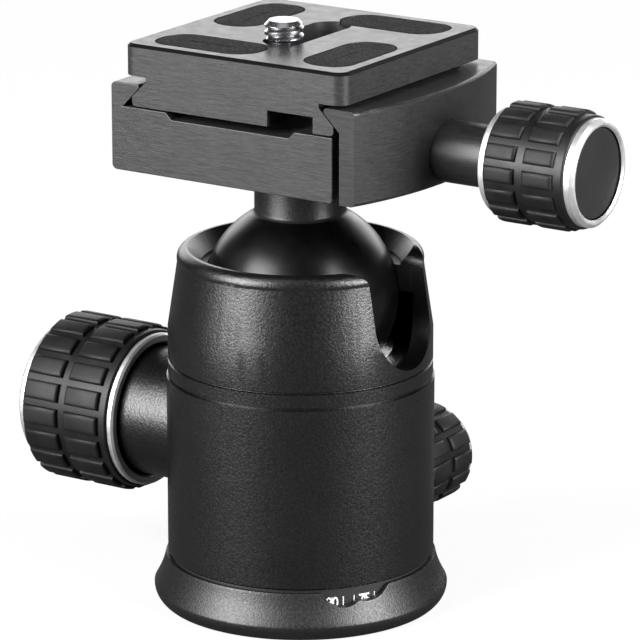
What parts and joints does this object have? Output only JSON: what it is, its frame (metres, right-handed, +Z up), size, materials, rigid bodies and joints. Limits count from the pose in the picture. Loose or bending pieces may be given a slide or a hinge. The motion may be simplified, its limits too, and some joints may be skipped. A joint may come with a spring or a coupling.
{
  "type": "tripod ball head",
  "caption": "Camera ball head: turning base with scale, housing with drop notch, ball with stem, screw clamp, sliding quick-release plate, and knobs for ball, pan and clamp.",
  "frame": {"origin": "centre of the base's underside, at the mouth of the tapped tripod hole, on the pan axis", "axes": "+Z up along the pan axis; +X towards the drop notch and the clamp's knob; -X towards the ball-lock knob; +Y towards the pan-lock knob"},
  "size_m": [0.1047, 0.0669, 0.0987],
  "materials": {
    "black_anodised": "black anodised over a fine blasted grain, satin",
    "gunmetal": "dark grey anodised, faces brushed in fine lines",
    "black_ball": "black hard anodised, smooth satin",
    "stem_grey": "grey anodised, fine grain",
    "plain_aluminium": "machined",
    "bright_aluminium": "black anodised core with diamond-cut bright rims",
    "steel": "zinc-plated steel",
    "bright_steel": "nickel-plated steel",
    "black_rubber": "moulded rubber, matt",
    "pad_rubber": "grainy cellular rubber",
    "white_nylon": "natural nylon",
    "black_plastic": "fine-grained black plastic"
  },
  "bodies": {
    "base": {"pan_base": "black_anodised", "pan_spindle": "steel", "base_screws": "steel", "thrust_washer": "white_nylon", "spindle_retainer": "steel"},
    "housing": {"housing": "black_anodised", "pan_collar": "plain_aluminium", "collar_set_screws": "steel", "degree_ring": "black_anodised", "ring_screws": "steel", "seat_ring": "black_plastic", "wedge_track": "steel", "track_screws": "steel"},
    "wedge": {"wedge_block": "steel"},
    "cup": {"ball_cup": "plain_aluminium"},
    "lock_knob": {"lock_screw": "steel", "lock_hub": "bright_aluminium", "lock_grip": "black_rubber", "lock_cap": "black_plastic"},
    "pan_shoe": {"pan_brake_shoe": "white_nylon"},
    "pan_knob": {"pan_screw": "steel", "pan_hub": "bright_aluminium", "pan_grip": "black_rubber", "pan_cap": "black_plastic"},
    "liner": {"ball_liner": "white_nylon"},
    "ball": {"ball_stem": "black_ball"},
    "clamp": {"clamp_base": "gunmetal", "clamp_mount_screw": "steel", "mount_washer": "steel", "guide_pins": "steel"},
    "jaw": {"clamp_jaw": "gunmetal"},
    "clamp_knob": {"clamp_screw": "steel", "clamp_hub": "bright_aluminium", "clamp_grip": "black_rubber", "clamp_cap": "black_plastic", "jaw_clip": "steel"},
    "plate": {"quick_release_plate": "gunmetal", "plate_pads": "pad_rubber"},
    "clip": {"screw_clip": "steel"},
    "camera_screw": {"camera_screw": "bright_steel"}
  },
  "joints": [
    {"name": "pan_rotation", "type": "hinge", "parent": "base", "child": "housing", "pos_m": [0, 0, 0.008], "axis": [0, 0, 1], "continuous": true},
    {"name": "wedge_slide", "type": "slide", "parent": "housing", "child": "wedge", "axis": [-1, 0, 0], "range_m": [0, 0.00126]},
    {"name": "lock_knob_turn", "type": "hinge", "parent": "wedge", "child": "lock_knob", "pos_m": [-0.03, 0, 0.027], "axis": [-1, 0, 0], "range_deg": [0, 360]},
    {"name": "cup_drop", "type": "slide", "parent": "housing", "child": "cup", "axis": [0, 0, -1], "range_m": [0, 0.00034]},
    {"name": "pan_shoe_slide", "type": "slide", "parent": "housing", "child": "pan_shoe", "axis": [0, 1, 0], "range_m": [0, 0.00081]},
    {"name": "pan_knob_turn", "type": "hinge", "parent": "pan_shoe", "child": "pan_knob", "pos_m": [0, 0.03, 0.0142], "axis": [0, 1, 0], "range_deg": [0, 360]},
    {"name": "ball_direction", "type": "hinge", "parent": "housing", "child": "liner", "pos_m": [0, 0, 0.0516], "axis": [0, 0, 1], "range_deg": [-180, 0]},
    {"name": "ball_tilt", "type": "hinge", "parent": "liner", "child": "ball", "pos_m": [0, 0, 0.0516], "axis": [0, 1, 0], "range_deg": [-40, 80]},
    {"name": "ball_spin", "type": "hinge", "parent": "ball", "child": "clamp", "pos_m": [0, 0, 0.0516], "axis": [0, 0, 1], "continuous": true},
    {"name": "jaw_slide", "type": "slide", "parent": "clamp", "child": "jaw", "axis": [1, 0, 0], "range_m": [0, 0.00321]},
    {"name": "clamp_knob_turn", "type": "hinge", "parent": "jaw", "child": "clamp_knob", "pos_m": [0.045, 0, 0.0795], "axis": [1, 0, 0], "range_deg": [0, 1440]},
    {"name": "plate_slide", "type": "slide", "parent": "clamp", "child": "plate", "axis": [0, 1, 0], "range_m": [-0.02, 0.02]},
    {"name": "camera_screw_slide", "type": "slide", "parent": "plate", "child": "clip", "axis": [0, 1, 0], "range_m": [0, 0.0135]},
    {"name": "camera_screw_turn", "type": "hinge", "parent": "clip", "child": "camera_screw", "pos_m": [0.0012, -0.0065, 0.0883], "axis": [0, 0, 1], "continuous": true}
  ],
  "couplings": [
    {"joint": "wedge_slide", "follows": "lock_knob_turn", "m_per_rad": 0.00019894},
    {"joint": "cup_drop", "follows": "lock_knob_turn", "m_per_rad": 0.000053307},
    {"joint": "pan_shoe_slide", "follows": "pan_knob_turn", "m_per_rad": 0.00012732},
    {"joint": "jaw_slide", "follows": "clamp_knob_turn", "m_per_rad": 0.00012732}
  ]
}
